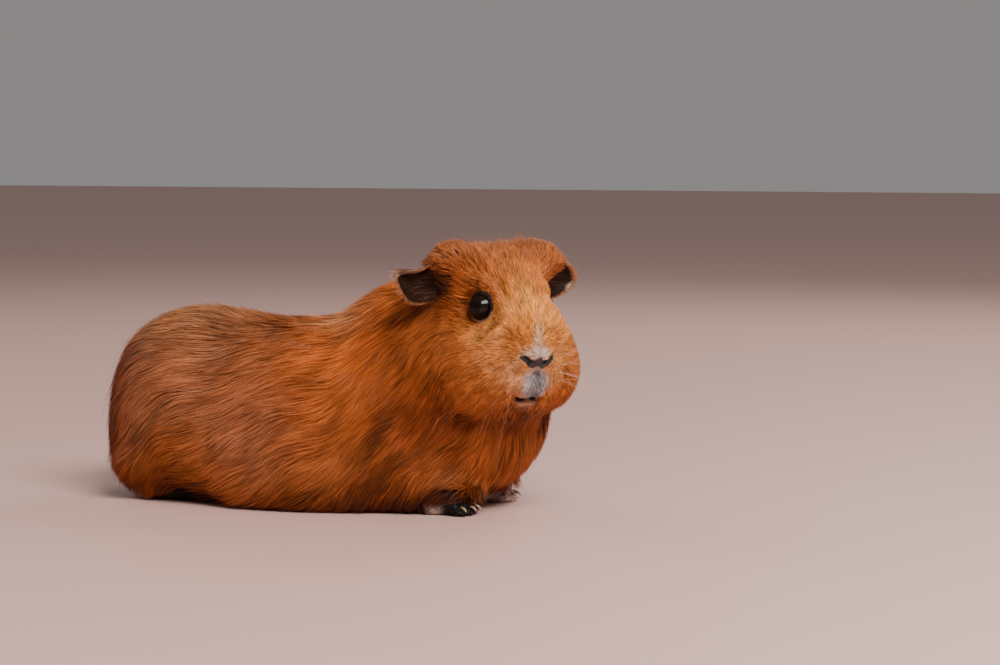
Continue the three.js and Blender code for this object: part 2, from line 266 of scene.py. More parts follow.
# ================================================================ markings and painted shade
# One red-brown coat, more golden on the face, with a white blaze, a grey upper lip, a brown saddle, a
# cream streak behind the shoulders and one dark and one pale forefoot. Painted shade darkens the underside,
# chest, shoulders, elbows, rump, throat and jaw, the ear roots and the cleft of the lip, and painted sheen
# lightens clumps on the flanks. Skin and coat share these.


def ripple(points, size, seed):
    turn = np.random.default_rng(seed)
    waves = turn.normal(size=(6, 3))
    waves *= 2 * math.pi / size / np.linalg.norm(waves, axis=1)[:, None] * turn.uniform(0.6, 1.5, (6, 1))
    return np.sin(points @ waves.T + turn.uniform(0, 6.28, 6)).sum(1) / 2.6


def markings_and_painted_shade(points):
    q = in_head(points)
    on_head = head_share(points)
    colour = np.tile([0.37, 0.092, 0.018], (len(points), 1))

    def paint(shade, amount):
        nonlocal colour
        colour = colour + np.clip(amount, 0, 1)[:, None] * (np.asarray(shade) - colour)

    x, y, z = points.T
    broken = 0.85 + 0.3 * ripple(points, 16, 1)
    paint([0.35, 0.130, 0.060], 0.75 * smooth(0, -45, x) * smooth(20, 50, z) * broken)
    # Pale clumps over the rear half of the body: partly pale hair tips, partly painted sheen.
    pale_tips_and_sheen = smooth(0.2, 1.2, ripple(points, 9, 5)) * smooth(20, -20, x)
    pale_tips_and_sheen = pale_tips_and_sheen * smooth(18, 35, z) * smooth(-92, -65, x)
    paint([0.36, 0.18, 0.095], 0.55 * pale_tips_and_sheen)
    paint([0.38, 0.17, 0.060], 0.7 * spot(points, (-56, 0, 78), (32, 30, 13)) * broken)
    paint([0.66, 0.33, 0.10], 0.8 * spot(points, (-66, -8, 80), (14, 9, 4)))
    paint([0.11, 0.024, 0.001], 0.95 * spot(points, (-12, -10, 76), (20, 18, 11)))
    paint([0.80, 0.44, 0.20], 0.95 * spot(points, (18, -10, 77), (11, 8, 5)))
    paint([0.56, 0.125, 0.011], 0.85 * spot(points, (26, -18, 64), (24, 26, 20)))
    paint([0.62, 0.14, 0.014], 0.8 * spot(q, (-32, -10, 4), (12, 16, 12)))
    for side in (1, -1):
        own = points * (1, side, 1)
        # Pinkish-tan patches on both flanks: painted sheen.
        paint([0.42, 0.16, 0.085], 0.6 * spot(own, (-10, 38, 36), (16, 20, 20)) * broken)
        # Painted shade: under the neck on each shoulder, on the chest below it and under each elbow.
        paint([0.16, 0.024, 0.001], 0.8 * spot(own, (41, 34, 56), (13, 18, 18)))
        paint([0.12, 0.014, 0.0005], 0.7 * spot(own, (55, 34, 44), (15, 16, 17)))
        paint([0.10, 0.012, 0.0006], 0.85 * spot(own, (37, 36, 20), (9, 12, 14)))
    # Painted shade: darker towards the underside, under the chest over the near forefoot, on the rump
    # turned from the light, and low on the chest, belly and rump.
    paint([0.09, 0.014, 0.001], 0.75 * smooth(26, 5, z))
    paint([0.05, 0.008, 0.0008], 0.9 * spot(points, (52, -32, 11), (13, 12, 9)))
    paint([0.13, 0.018, 0.0005], 0.85 * smooth(-55, -88, x) * smooth(80, 62, z))
    paint([0.04, 0.005, 0.0004], 0.7 * smooth(0, 14, x) * smooth(24, 10, z))
    paint([0.12, 0.015, 0.0004], 0.38 * smooth(-15, -60, x) * smooth(46, 24, z))
    paint([0.05, 0.007, 0.0004], 0.8 * smooth(-72, -92, x) * smooth(50, 20, z))
    paint([0.50, 0.135, 0.022], on_head * 0.85 * smooth(62, 30, np.linalg.norm(q - nose_tip, axis=1)))
    paint([0.92, 0.36, 0.060], on_head * 0.95 * spot(q, (18, 0, -4), (13, 9, 15)))
    paint([0.36, 0.095, 0.020], on_head * 0.7 * smooth(12, 22, q[:, 2]))
    paint([0.27, 0.070, 0.014], on_head * 0.6 * spot(q, (-5, 13, 24), (10, 9, 9)))
    m = at_muzzle(q)
    for side in (1, -1):
        own = m * (1, side, 1)
        # Painted shade behind and below each ear's root, in the hollow before it, and under the jaw; the
        # paler cheek before the eye and the whisker pad are markings.
        paint([0.10, 0.026, 0.006], on_head * 1.1 * spot(own, (-17, 24, 6), (8, 9, 9)))
        paint([0.16, 0.035, 0.005], on_head * 0.5 * spot(own, (-22, 24, -8), (10, 12, 14)))
        paint([0.85, 0.37, 0.10], on_head * 0.6 * spot(own, (13, 15, -8), (8, 8, 12)))
        paint([0.055, 0.020, 0.010], on_head * 1.2 * spot(own, (-11, 21, 10), (6, 6, 7)))
        paint([0.16, 0.026, 0.002], on_head * 0.8 * spot(own, (-14, 29, -28), (13, 10, 16)))
        paint([0.72, 0.36, 0.15], on_head * 0.7 * spot(own, (20.5, 8.0, -24), (6, 3.2, 6)))
    # Painted shade under the chin.
    paint([0.07, 0.010, 0.001], on_head * smooth(-36.5, -41, q[:, 2]))
    blaze = smooth(0.15, 0.95, spot(m, (20.5, 0, -11.5), (9, 2.1, 6.0)))
    paint([0.92, 0.60, 0.36], on_head * 0.85 * blaze)
    paint([0.74, 0.56, 0.45], on_head * smooth(0.2, 0.9, spot(m, (22, 0, -17.2), (7, 5.7, 2.4))))
    paint([0.38, 0.32, 0.31], on_head * smooth(0.25, 0.6, spot(m, (21, 0, -28), (8, 5.6, 6.4))))
    # A dark line of painted shade down the cleft of the upper lip.
    parting = rod(m, (22.5, 0.2, -24), (19.8, 0.6, -32.4), 0.4, 1.1)
    paint([0.15, 0.12, 0.13], on_head * smooth(2.4, 0.3, parting))
    paint([0.33, 0.12, 0.045], on_head * smooth(0.3, 0.8, spot(m, (17, 0, -36.0), (8, 7.0, 2.2))))
    for foot, wrist, toes in (
        ("forefoot_right", [0.50, 0.38, 0.31], [0.012, 0.007, 0.005]),
        ("forefoot_left", [0.75, 0.56, 0.50], [0.66, 0.44, 0.41]),
        ("hindfoot_right", [0.05, 0.016, 0.006], [0.020, 0.010, 0.008]),
        ("hindfoot_left", [0.05, 0.016, 0.006], [0.020, 0.010, 0.008]),
    ):
        low, high = (1000 * np.array(corner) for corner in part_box(foot))
        middle = (low + high) / 2
        near = foot_share(points) * (np.sign(y) == np.sign(middle[1])) * (np.abs(x - middle[0]) < 30)
        top = 6 if foot == "forefoot_right" else 12
        paint(wrist, near * smooth(low[0] + 3, low[0] + 7, x) * smooth(top, top - 2.5, z))
        paint(toes, near * smooth(middle[0] - 3, middle[0] + 1, x) * smooth(top + 1, top - 1, z))
    return np.clip(colour, 0, 1)


# ================================================================ the skin
# Thin skin over the whole body, mostly hidden. It shows at the nose, lips, lids and toes, where the folds
# are worked into it: it is one closed mesh, made finer there and drawn onto the shaped field.
nostril = (21.6, 7.0, -17.5), (23.9, 2.3, -21.4)
nose_leather = (24, 2.3, -20.9), (23.9, 0, -20.0)
ear_hollow = (-10, 27, 10), (7.5, 8.5, 8)
mouth = (19.6, 0, -33.5), (17.6, 4.4, -34.1)


def claw_line(name):
    """The base and tip of a claw's solid."""
    corners = np.array([v.co[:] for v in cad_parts[name].data.vertices]) * 1000
    middle = corners.mean(0)
    tip = corners[np.argmax(corners[:, 0])]
    base = 2 * middle - tip
    return base + 0.15 * (base - tip), tip


claw_counts = {"forefoot": 4, "hindfoot": 3}
claws = [
    (foot, side, f"claw_{foot}_{side}_{i + 1}")
    for foot, count in claw_counts.items()
    for side in ("left", "right")
    for i in range(count)
]
toe_lines = []
for _, _, name in claws:
    base, tip = claw_line(name)
    ahead = (tip - base) * (1, 1, 0) / np.linalg.norm(tip - base)
    toe_lines.append((base - 6 * ahead, base + 0.4 * ahead))


def shaped(points):
    depth = sampled(skin_field, points)
    q = in_head(points)
    for line in toe_lines:
        near = np.flatnonzero(np.linalg.norm(points - line[1], axis=1) < 12)
        depth[near] = union(depth[near] + 0.08, rod(points[near], *line, 1.5, 1.15), 0.5)
    near = np.flatnonzero((q[:, 0] > -8) & (q[:, 2] > -45) & (q[:, 2] < 12) & (head_share(points) > 0.5))
    if len(near):
        p, d = q[near], depth[near]
        for side in (1, -1):
            own = p * (1, side, 1)
            away, along, out = eye_parts(p, side)
            lid = np.linalg.norm(away, axis=1) - eye_ball - 0.55
            opening = out * math.cos(lid_open) - along * math.sin(lid_open)
            d = without(d, eye_hollow(p, side), 0.8)
            d = union(d, without(lid, opening, 0.4), 0.7)
            d = without(d, np.maximum(np.linalg.norm(away, axis=1) - 10, opening), 0.25)
            d = without(d, lump(own, *ear_hollow), 2.5)
        m = at_muzzle(p)
        d = with_muzzle(d, p)
        d = without(d, rod(m, (23.6, 0.2, -22), (21.2, 0.3, -30.5), 0.1), 0.8)
        for side in (1, -1):
            own = m * (1, side, 1)
            d = without(d, rod(own, *nostril, 0.8, 1.3), 0.4)
            d = without(d, rod(own, *mouth, 0.9, 0.85), 0.3)
        depth[near] = d
    return depth


skin_grid = openvdb.FloatGrid(10)
skin_grid.copyFromArray(skin_field)
skin_grid.transform = grid_step
points, quads = skin_grid.convertToQuads(0)
points = points + grid_origin
skin_mesh = bpy.data.meshes.new("skin")
skin_mesh.from_pydata(points.tolist(), [], quads[:, ::-1].tolist())
work = bmesh.new()
work.from_mesh(skin_mesh)
for reach in (1.0, 0.6):
    centres = np.array([face.calc_center_median()[:] for face in work.faces])
    q = in_head(centres)
    fine = np.linalg.norm((q - (20, 0, -26)) / (9, 11, 15), axis=1) < reach
    for side in (1, -1):
        _, along, out = eye_parts(q, side)
        fine |= (out < 8.5 * reach + 1) & (np.abs(along - 3) < 5)
    if reach == 1.0:
        fine |= foot_share(centres) > 0.7
    edges = {edge for face, keep in zip(work.faces, fine) if keep for edge in face.edges}
    bmesh.ops.subdivide_edges(work, edges=list(edges), cuts=1, use_grid_fill=True)
bmesh.ops.triangulate(work, faces=work.faces)
work.normal_update()
work.to_mesh(skin_mesh)
work.free()
points = np.array([v.co[:] for v in skin_mesh.vertices])
half_step = 0.15
for _ in range(4):
    here = shaped(points)
    steps = half_step * np.eye(3)
    slope = np.stack([shaped(points + step) - shaped(points - step) for step in steps], 1)
    slope /= 2 * half_step
    stride = -here / np.maximum((slope**2).sum(1), 0.3)
    points += slope * np.clip(stride, -0.6, 0.6)[:, None]
points[:, 2] = np.maximum(points[:, 2], 0)
skin_mesh.vertices.foreach_set("co", (points / 1000).ravel())
skin_mesh.update()
print("skin", len(skin_mesh.vertices), len(skin_mesh.polygons))


def bare_skin(points):
    """Colours of the skin itself: the coat's markings and painted shade, the bare places in their own
    colours, and painted shade in the nostrils, the mouth's slit, the cleft of the lip and the hollows
    before the ears.
    """
    q = in_head(points)
    colour = markings_and_painted_shade(points) * (0.75, 0.7, 0.7)

    def paint(shade, amount):
        nonlocal colour
        colour = colour + np.clip(amount, 0, 1)[:, None] * (np.asarray(shade) - colour)

    front = head_share(points) * (q[:, 0] > 10)
    m = at_muzzle(q)
    paint([0.48, 0.34, 0.29], front * smooth(0.3, 0.7, spot(m, (22, 0, -17.0), (6, 7.0, 3.6))))
    paint([0.22, 0.18, 0.18], front * smooth(0.3, 0.7, spot(m, (21, 0, -27), (7, 5.2, 6.5))))
    # A dark line of painted shade down the cleft of the upper lip.
    parting = rod(m, (22.5, 0.2, -23), (19.8, 0.5, -32.4), 0.5, 1.0)
    paint([0.07, 0.055, 0.06], front * smooth(1.5, 0.5, parting))
    paint([0.30, 0.13, 0.07], front * smooth(0.3, 0.7, spot(m, (17, 0, -36.4), (6, 6, 2.6))))
    for side in (1, -1):
        own = m * (1, side, 1)
        # Painted shade in the nostrils and the slit of the mouth.
        dark = np.minimum(rod(own, *nostril, 0.9, 1.45), rod(own, *mouth, 1.05, 1.05))
        paint([0.007, 0.004, 0.004], front * smooth(0.5, 0.1, dark))
        paint([0.040, 0.028, 0.028], front * smooth(1.2, 0.6, rod(own, *nose_leather, 0.9)))
        _, along, out = eye_parts(q, side)
        below = smooth(1, -2, q[:, 2])
        paint([0.60, 0.38, 0.27], 0.7 * below * smooth(6.8, 6.2, out) * (along > 0))
        paint([0.012, 0.008, 0.007], smooth(6.5, 6.1, out + 0.6 * below) * (along > 0))
        # Painted shade in the hollow before each ear.
        paint([0.050, 0.020, 0.014], spot(q * (1, side, 1), (-10, 21, 10), (6, 6, 7)) * 1.5)
    return colour


def colour_mesh(mesh, colours):
    # The colour attribute holds pigment together with painted shade.
    layer = mesh.color_attributes.new("pigment_and_shade", "FLOAT_COLOR", "POINT")
    layer.data.foreach_set("color", np.c_[colours, np.ones(len(colours))].astype(np.float32).ravel())


def surface(name, roughness, specular=0.5, mottle=0.25, mottle_size=900, bump=0, bump_size=2500, gloss=0):
    """A material whose colour is the mesh's own colour attribute, its pigment with painted shade, broken up
    by a fine mottle.
    """
    material = bpy.data.materials.new(name)
    material.use_nodes = True
    nodes, links = material.node_tree.nodes, material.node_tree.links
    shader = nodes["Principled BSDF"]
    shader.inputs["Roughness"].default_value = roughness
    shader.inputs["Specular IOR Level"].default_value = specular
    shader.inputs["Coat Weight"].default_value = gloss
    pigment_and_shade = nodes.new("ShaderNodeAttribute")
    pigment_and_shade.attribute_name = "pigment_and_shade"
    place = nodes.new("ShaderNodeTexCoord")
    noise = nodes.new("ShaderNodeTexNoise")
    noise.inputs["Scale"].default_value = mottle_size
    noise.inputs["Detail"].default_value = 3
    links.new(place.outputs["Object"], noise.inputs["Vector"])
    spread = nodes.new("ShaderNodeMapRange")
    spread.inputs["From Min"].default_value = 0.3
    spread.inputs["From Max"].default_value = 0.7
    spread.inputs["To Min"].default_value = 1 - mottle
    spread.inputs["To Max"].default_value = 1 + mottle
    links.new(noise.outputs["Fac"], spread.inputs["Value"])
    mixed = nodes.new("ShaderNodeVectorMath")
    mixed.operation = "SCALE"
    links.new(pigment_and_shade.outputs["Color"], mixed.inputs[0])
    links.new(spread.outputs["Result"], mixed.inputs["Scale"])
    links.new(mixed.outputs["Vector"], shader.inputs["Base Color"])
    if bump:
        grain = nodes.new("ShaderNodeTexNoise")
        grain.inputs["Scale"].default_value = bump_size
        grain.inputs["Detail"].default_value = 4
        links.new(place.outputs["Object"], grain.inputs["Vector"])
        raised = nodes.new("ShaderNodeBump")
        raised.inputs["Strength"].default_value = 0.8
        raised.inputs["Distance"].default_value = bump
        links.new(grain.outputs["Fac"], raised.inputs["Height"])
        links.new(raised.outputs["Normal"], shader.inputs["Normal"])
    return material


def placed(name, mesh, material, replaces=()):
    thing = bpy.data.objects.new(name, mesh)
    bpy.context.scene.collection.objects.link(thing)
    mesh.materials.append(material)
    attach(thing, "root")
    if replaces:
        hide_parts(*replaces)
    return thing


colour_mesh(skin_mesh, bare_skin(points))
for face in skin_mesh.polygons:
    face.use_smooth = True
skin_material = surface("skin", 0.6, specular=0.3, bump=0.00012, mottle=0.18)
placed("skin", skin_mesh, skin_material, flesh)

# ================================================================ the eyes
# Large, wet, dark balls, which stand in the bare rims of the lids. Each is one smooth ball, drawn out a
# little over the pupil, and so dark brown that the pupil hardly shows. It sits in the hollow of the skin.
eye_material = bpy.data.materials.new("eye")
eye_material.use_nodes = True
nodes, links = eye_material.node_tree.nodes, eye_material.node_tree.links
eye_shader = nodes["Principled BSDF"]
iris = nodes.new("ShaderNodeAttribute")
iris.attribute_name = "pigment_and_shade"
links.new(iris.outputs["Color"], eye_shader.inputs["Base Color"])
eye_shader.inputs["Specular IOR Level"].default_value = 0.22
film = nodes.new("ShaderNodeTexNoise")
film.inputs["Scale"].default_value = 700
wet = nodes.new("ShaderNodeMapRange")
wet.inputs["To Min"].default_value = 0.06
wet.inputs["To Max"].default_value = 0.12
links.new(film.outputs["Fac"], wet.inputs["Value"])
links.new(wet.outputs["Result"], eye_shader.inputs["Roughness"])
for side, name in ((1, "eye_left"), (-1, "eye_right")):
    ball = bmesh.new()
    bmesh.ops.create_icosphere(ball, subdivisions=5, radius=eye_ball / 1000)
    axis = eye_axis(side) @ head_axes
    eye_mesh = bpy.data.meshes.new(name + "_ball")
    ball.to_mesh(eye_mesh)
    ball.free()
    co = np.array([v.co[:] for v in eye_mesh.vertices])
    from_axis = np.degrees(np.arccos(np.clip(co @ axis / (eye_ball / 1000), -1, 1)))
    ring = smooth(20, 24, from_axis)[:, None] * (1 - smooth(44, 56, from_axis))[:, None]
    colours = np.array([0.003, 0.002, 0.002]) + ring * (0.006, 0.003, 0.002)
    co += axis * 0.00035 * smooth(50, 10, from_axis)[:, None]
    eye_mesh.vertices.foreach_set("co", (co + eye_centres[name[4:]] / 1000).ravel())
    colour_mesh(eye_mesh, colours)
    for face in eye_mesh.polygons:
        face.use_smooth = True
    placed(name + "_ball", eye_mesh, eye_material, [name])

# ================================================================ the ears
# Thin, bare, petal-shaped flaps of skin over gristle, with the front edge folded over and the rest drooping
# outwards. They are dark inside, the skin's own dark colour deepened by painted shade. Each is one sheet
# between its root in the skin and its edge, both in the head's frame, with the edge's corners from front to
# back. The right ear has a dip before its tip.
ear_thick = 0.7
ear_root = (-7, 17, 18), (-16, 21.5, 2)
ear_edge = {
    1: [(-10, 27, 17.0), (-13.5, 34, 15.8), (-15, 39.5, 11.5), (-15.5, 40.5, 7.0), (-16.5, 33, 1.5)],
    -1: [(-10, 27, 17.5), (-13.5, 32, 13.8), (-17.5, 40.5, 13.2), (-16, 39.5, 6), (-17.5, 33, 1)],
}


def along_curve(corners, shares):
    """Points on a smooth curve through the corners, spread by the corners' own spacing."""
    corners = np.array(corners, float)
    gaps = np.sqrt(np.linalg.norm(np.diff(corners, axis=0), axis=1))
    at = np.r_[0, np.cumsum(gaps)] / gaps.sum()
    slopes = np.gradient(corners, at, axis=0)
    k = np.clip(np.searchsorted(at, shares) - 1, 0, len(at) - 2)
    wide = (at[k + 1] - at[k])[:, None]
    t = (shares[:, None] - at[k][:, None]) / wide
    a, b = corners[k], corners[k + 1]
    return (
        (2 * t**3 - 3 * t**2 + 1) * a
        + (t**3 - 2 * t**2 + t) * wide * slopes[k]
        + (3 * t**2 - 2 * t**3) * b
        + (t**3 - t**2) * wide * slopes[k + 1]
    )


def ear_surface(side, u, v):
    """A place on an ear: u runs along its root from front to back, v from the root out to the rim."""
    edge = along_curve([ear_root[0], *ear_edge[side], ear_root[1]], u)
    base = np.array(ear_root[0]) + u[:, None] * np.subtract(ear_root[1], ear_root[0])
    base[:, 1] -= 1.5
    place = base + v[:, None] * (edge - base)
    place[:, 1] += 1.5 * np.sin(math.pi * np.minimum(v, 1))
    hollow = np.sin(math.pi * np.clip(v, 0, 1)) * np.sin(math.pi * u)
    place[:, 0] -= 2.6 * hollow - 1.1 * hollow * np.sin(12 * u - 3)
    curl = smooth(0.8, 1.0, v) * smooth(0, 0.1, u) * smooth(1, 0.9, u)
    place[:, 0] += 1.2 * curl
    return from_head(place * (1, side, 1))


def ear_face(side, u, v):
    """Places on an ear, and the ways straight out of its face there."""
    middle = ear_surface(side, u, v)
    by_u = ear_surface(side, u + 0.005, v) - middle
    by_v = ear_surface(side, u, v + 0.01) - middle
    across = np.cross(by_u, by_v)
    return middle, across / np.linalg.norm(across, axis=1)[:, None]


def ear_pale(side, u, v):
    """The pale inner lining, which shows where the rim turns over between the dip and the tip, partly
    painted light where it faces up.
    """
    first, width, deep = (0.32, 0.24, 0.34) if side < 0 else (0.60, 0.13, 0.11)
    share = np.clip((u - first) / width, 0, 1)
    return smooth(-0.02, 0.06, v - (1 - deep * np.sin(math.pi * share))) * (share > 0) * (share < 1)


rows, row = 61, 31
ear_u, ear_v = np.meshgrid(np.linspace(0.01, 0.99, rows), np.linspace(0, 1, row), indexing="ij")
ear_u, ear_v = ear_u.ravel(), ear_v.ravel()
ear_material = surface(
    "ear_skin", 0.65, specular=0.15, mottle=0.3, mottle_size=1300, bump=0.00015, bump_size=3000
)
for side, name in ((1, "left"), (-1, "right")):
    middle, across = ear_face(side, ear_u, ear_v)
    rim_round = np.sqrt(np.clip(1 - ((ear_v - 0.9) / 0.1).clip(0) ** 2, 0, 1))[:, None]
    half = across * ear_thick / 2 * rim_round
    corners = np.concatenate([middle + half, middle - half])
    faces = []
    for i in range(rows - 1):
        for j in range(row - 1):
            a = i * row + j
            faces.append((a, a + row, a + row + 1, a + 1))
            b = a + rows * row
            faces.append((b, b + 1, b + row + 1, b + row))
    for j in range(row - 1):
        for a, turn in ((j, 1), ((rows - 1) * row + j, -1)):
            faces.append((a, a + 1, a + 1 + rows * row, a + rows * row)[::turn])
    ear_mesh = bpy.data.meshes.new("ear_" + name + "_flap")
    ear_mesh.from_pydata((corners / 1000).tolist(), [], faces)
    rim_pale = (smooth(0.93, 1.0, ear_v) * smooth(1.0, 0.65, ear_u))[:, None]
    pale = ear_pale(side, ear_u, ear_v)[:, None]
    front_rim = smooth(0.4, 0.25, ear_u)[:, None]
    rim_colour = np.array([0.24, 0.075, 0.028]) + front_rim * (0.22, 0.17, 0.11)
    # The inside: dark skin deepened by painted shade, with a pale rim and the pale lining, which is partly
    # painted light.
    inner = np.array([0.016, 0.005, 0.002]) + rim_pale * rim_colour
    inner = inner + pale * (np.array([0.34, 0.21, 0.14]) - inner)
    outer = np.array([0.16, 0.055, 0.022]) + rim_pale * (0.25, 0.15, 0.09)
    colour_mesh(ear_mesh, np.concatenate([outer, inner] if side < 0 else [inner, outer]))
    for face in ear_mesh.polygons:
        face.use_smooth = True
    placed("ear_" + name + "_flap", ear_mesh, ear_material, ["ear_" + name])

# ================================================================ the claws
# Narrow curved cones of horn, dark where they leave the toe and pale at the tip, one for each toe. The
# claws of a foot are one mesh, and each runs along the line of its own solid.
claw_material = surface(
    "claw", 0.35, mottle=0.15, mottle_size=2500, bump=0.00004, bump_size=4000, gloss=0.3
)
rings, sides = 12, 12
for foot in claw_counts:
    for side in ("left", "right"):
        names = [name for where, own_side, name in claws if (where, own_side) == (foot, side)]
        corners, faces, colours = [], [], []
        for name in names:
            base, tip = claw_line(name)
            tip = base + 0.48 * (tip - base)
            along = tip - base
            sideways = np.cross((0, 0, 1), along)
            sideways /= np.linalg.norm(sideways)
            upward = np.cross(along, sideways)
            upward /= np.linalg.norm(upward)
            start = len(corners)
            for r in range(rings):
                t = r / (rings - 1)
                thick = 0.55 * math.sqrt(1 - t**1.6) + 0.03
                middle = base + along * t + upward * 0.5 * math.sin(math.pi * t)
                for s in range(sides):
                    angle = 2 * math.pi * s / sides
                    outwards = math.cos(angle) * sideways * 0.8 + math.sin(angle) * upward
                    corners.append(middle + thick * outwards)
                    colours.append(np.array([0.07, 0.04, 0.025]) + t * np.array([0.42, 0.32, 0.19]))
            for r in range(rings - 1):
                for s in range(sides):
                    a, b = start + r * sides + s, start + r * sides + (s + 1) % sides
                    faces.append((a, b, b + sides, a + sides))
            faces.append([start + s for s in range(sides)][::-1])
            faces.append([start + (rings - 1) * sides + s for s in range(sides)])
        claw_mesh = bpy.data.meshes.new(f"claws_{foot}_{side}")
        claw_mesh.from_pydata((np.array(corners) / 1000).tolist(), [], faces)
        colour_mesh(claw_mesh, np.array(colours))
        for face in claw_mesh.polygons:
            face.use_smooth = True
        placed(f"claws_{foot}_{side}", claw_mesh, claw_material, names)

# ================================================================ the coat
# Smooth, dense hair, which lies back from the nose, over the head and down the flanks. Each hair is a
# thin tapering blade rooted in the skin. It follows the lie of the coat, rises through the coat's depth
# to its tip, and leans towards its neighbours' tips in a lock.
chance = np.random.default_rng(7)


def lie_of_coat(points):
    """The way the hair points, before it is laid flat on the skin."""
    q = in_head(points)
    on_head = head_share(points)[:, None]
    away = q - nose_tip
    away /= np.maximum(np.linalg.norm(away, axis=1), 1e-6)[:, None]
    away[:, 0] -= 0.25
    away[:, 2] -= 0.35 * smooth(5, -25, q[:, 2])
    over_head = away @ head_axes
    x, y, z = points.T
    fall = 0.25 + 0.4 * smooth(-50, -15, x) + 0.8 * smooth(0, 45, x)
    fall += 1.5 * smooth(-40, -88, x) * smooth(74, 40, z)
    aside = 0.25 * np.clip(y / 14, -1, 1) * smooth(60, 80, z)
    along_body = np.stack([-np.ones(len(x)), aside, -fall], 1)
    way = on_head * over_head + (1 - on_head) * along_body
    swirl = 0.26 * ripple(points, 42, 3) + 0.16 * ripple(points, 17, 4)
    swirl *= 1 - 0.6 * on_head[:, 0]
    return way, swirl


def laid(roots, lengths, heights, steps, stagger):
    """The paths of hairs from their roots over the skin, each turned a little at random."""
    turned = chance.normal(0, 1, len(roots)) * stagger
    path = [roots]
    here = roots.copy()
    lie = sampled(skin_lie, here)
    start = np.clip(lie[:, 0], 0, 1)
    for k in range(steps):
        normal = lie[:, 1:] / np.maximum(np.linalg.norm(lie[:, 1:], axis=1), 1e-6)[:, None]
        way, swirl = lie_of_coat(here)
        way -= (way * normal).sum(1)[:, None] * normal
        way /= np.maximum(np.linalg.norm(way, axis=1), 1e-6)[:, None]
        swirl += turned * (0.6 + 0.4 * k / steps)
        way = way * np.cos(swirl)[:, None] + np.cross(normal, way) * np.sin(swirl)[:, None]
        here = here + way * (lengths / steps)[:, None]
        lie = sampled(skin_lie, here)
        rise = 0.1 + 0.9 * ((k + 1) / steps) ** 0.7
        here = here + normal * np.clip(start + heights * rise - lie[:, 0], -2.5, 2.5)[:, None]
        here[:, 2] = np.maximum(here[:, 2], 0.25)
        path.append(here)
    return np.stack(path, 1)


def nearest(places, centres):
    tree = KDTree(len(centres))
    for i, place in enumerate(centres):
        tree.insert(place, i)
    tree.balance()
    return np.array([tree.find(place)[1] for place in places])


def clumped(paths, every, pull):
    """Draws each hair's tip towards a guide hair near it."""
    guides = chance.choice(len(paths), max(len(paths) // every, 2), replace=False)
    mine = guides[nearest(paths[:, 0].tolist(), paths[guides, 0].tolist())]
    share = pull * np.linspace(0, 1, paths.shape[1])[None, :, None] ** 1.4
    return paths + share * (paths[mine] - paths), mine


def outward(points):
    normal = sampled(skin_lie, points)[:, 1:]
    return normal / np.maximum(np.linalg.norm(normal, axis=1), 1e-6)[:, None]


def blades(paths, widths, normal):
    """Corners of tapering blades along the paths, two at each step and one at the tip."""
    steps = paths.shape[1] - 1
    along = np.gradient(paths, axis=1)
    sideways = np.cross(along, normal[:, None, :])
    sideways /= np.maximum(np.linalg.norm(sideways, axis=2), 1e-6)[:, :, None]
    roll = chance.normal(0, 0.55, len(paths))
    sideways = sideways * np.cos(roll)[:, None, None] + normal[:, None, :] * np.sin(roll)[:, None, None]
    t = np.linspace(0, 1, steps + 1)
    taper = (0.65 + 0.35 * smooth(0, 0.3, t)) * (1 - 0.85 * smooth(0.35, 1, t))
    half = 0.5 * widths[:, None] * taper
    left = (paths + sideways * half[:, :, None])[:, :-1]
    right = (paths - sideways * half[:, :, None])[:, :-1]
    pairs = np.stack([left, right], 2).reshape(len(paths), steps * 2, 3)
    return np.concatenate([pairs, paths[:, -1:]], 1)


def unwrapped(roots, on_head):
    """Each root's place on an unwrap of one side of the body or head, from 0 to 1."""
    if on_head:
        q = in_head(roots) + (4, 0, 8)
        flat = np.stack([np.arctan2(q[:, 1], q[:, 0]), np.arcsin(q[:, 2] / np.linalg.norm(q, axis=1))], 1)
    else:
        flat = np.stack([roots[:, 0], np.arctan2(roots[:, 2] - 38, np.abs(roots[:, 1]))], 1)
    low, high = flat.min(0), flat.max(0)
    return 0.005 + 0.99 * (flat - low) / np.maximum(high - low, 1e-6)


# Each hair is one small patch on the unwrap, so that it keeps a colour of its own when it is baked.
patch = 0.003
coat_material = surface("coat", 0.5, specular=0.22, mottle=0.12, mottle_size=1500)


def in_ear_hollow(q):
    """How far each place of the head lies within the dark hollow before an ear, from 0 to 1."""
    own = np.stack([q[:, 0], np.abs(q[:, 1]), q[:, 2]], 1)
    return smooth(1.35, 0.7, np.linalg.norm((own - (-10, 22, 9)) / (6.5, 7.5, 7.5), axis=1))


